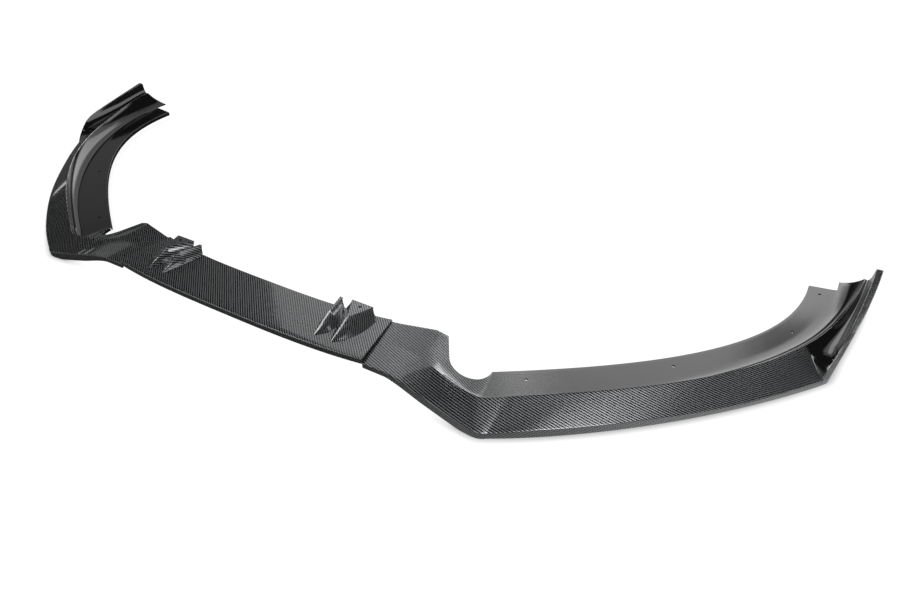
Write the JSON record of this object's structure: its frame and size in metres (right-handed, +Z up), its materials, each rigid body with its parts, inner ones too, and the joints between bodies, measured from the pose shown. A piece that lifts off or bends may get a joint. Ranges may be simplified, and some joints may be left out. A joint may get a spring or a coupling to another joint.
{
  "type": "front splitter lip",
  "caption": "Wide low front splitter lip for a car bumper, in moulded sections, with upturned winglets at its ends and pointed strakes on the middle.",
  "frame": {"origin": "middle of the bounding box in plan, on the ground that the lip lies on", "axes": "+X across the car, +Y towards the wheels, +Z up"},
  "size_m": [1.804, 0.6191, 0.0805],
  "materials": {
    "centre_print": "gloss black with a printed twill weave",
    "side_print": "gloss black with a printed twill weave on the blade and plain black on the flange"
  },
  "bodies": {
    "root": {"centre_section": "centre_print", "left_side_section": "side_print", "right_side_section": "side_print"}
  },
  "joints": []
}
